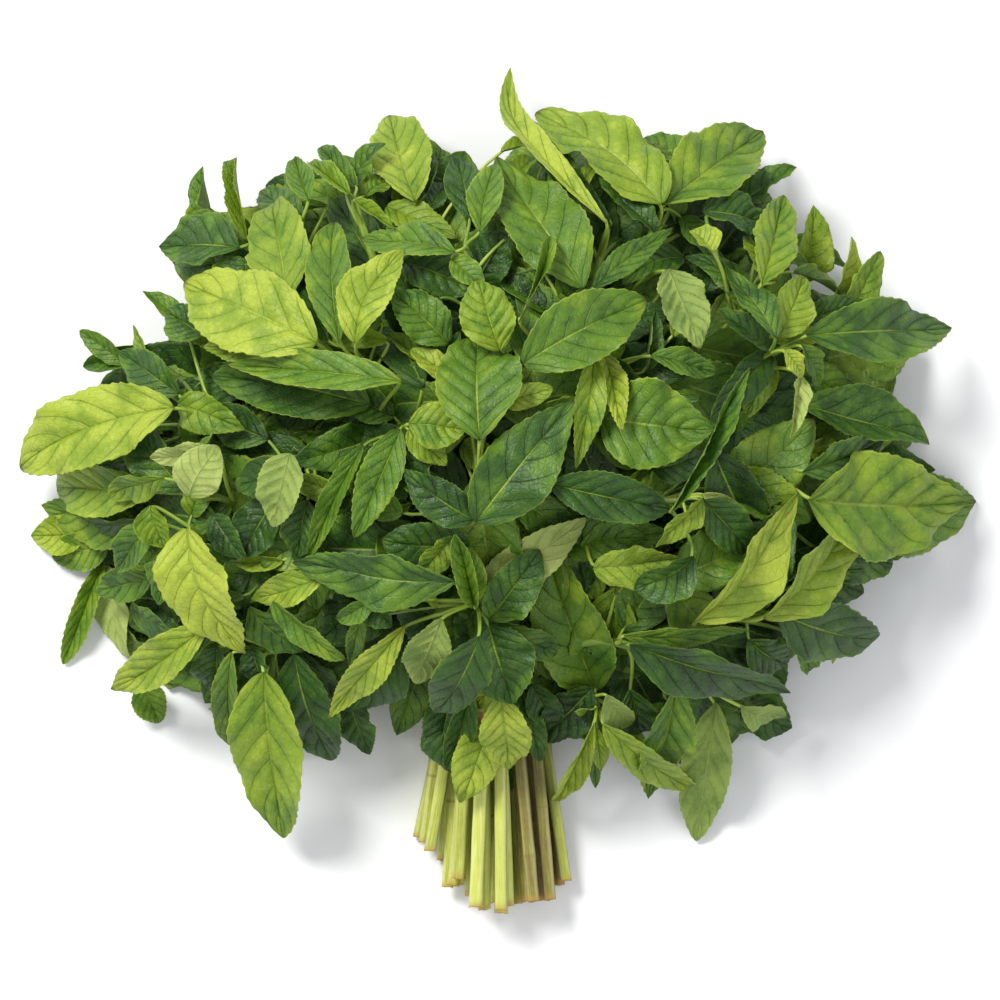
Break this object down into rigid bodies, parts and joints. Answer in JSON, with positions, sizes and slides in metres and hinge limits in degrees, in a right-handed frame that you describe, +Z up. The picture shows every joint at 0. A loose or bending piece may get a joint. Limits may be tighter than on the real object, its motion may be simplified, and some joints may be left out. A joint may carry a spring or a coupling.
{
  "type": "mint bunch",
  "caption": "Bunch of fresh-cut mint lying on its side: leafy shoots fan out from bare green stalks held together near their cut ends by a small band.",
  "frame": {"origin": "on the surface the bunch lies on, below the middle of its bounding box", "axes": "+X across the bunch, along its widest side; +Y from the cut ends towards the shoot tips; +Z up from the surface"},
  "size_m": [0.2628, 0.2302, 0.0885],
  "materials": {
    "leaf": null,
    "stem": null,
    "band": "plain tan rubber band, matt"
  },
  "bodies": {
    "root": {"shoot_01": "leaf", "shoot_02": "leaf", "shoot_03": "leaf", "shoot_04": "leaf", "shoot_05": "leaf", "shoot_06": "leaf", "shoot_07": "leaf", "shoot_08": "leaf", "shoot_09": "leaf", "shoot_10": "leaf", "shoot_11": "leaf", "shoot_12": "leaf", "shoot_13": "leaf", "shoot_14": "leaf", "shoot_15": "leaf", "shoot_16": "leaf", "shoot_17": "leaf", "shoot_18": "leaf", "shoot_19": "leaf", "shoot_20": "leaf", "shoot_21": "leaf", "shoot_22": "leaf", "shoot_23": "leaf", "shoot_24": "leaf", "shoot_25": "leaf", "shoot_26": "leaf", "stem_01": "stem", "stem_02": "stem", "stem_03": "stem", "stem_04": "stem", "stem_05": "stem", "stem_06": "stem", "stem_07": "stem", "stem_08": "stem", "stem_09": "stem", "stem_10": "stem", "stem_11": "stem", "stem_12": "stem", "stem_13": "stem", "stem_14": "stem", "stem_15": "stem", "stem_16": "stem", "stem_17": "stem", "stem_18": "stem", "stem_19": "stem", "stem_20": "stem", "stem_21": "stem", "stem_22": "stem", "stem_23": "stem", "stem_24": "stem", "stem_25": "stem", "stem_26": "stem", "band": "band"}
  },
  "joints": []
}
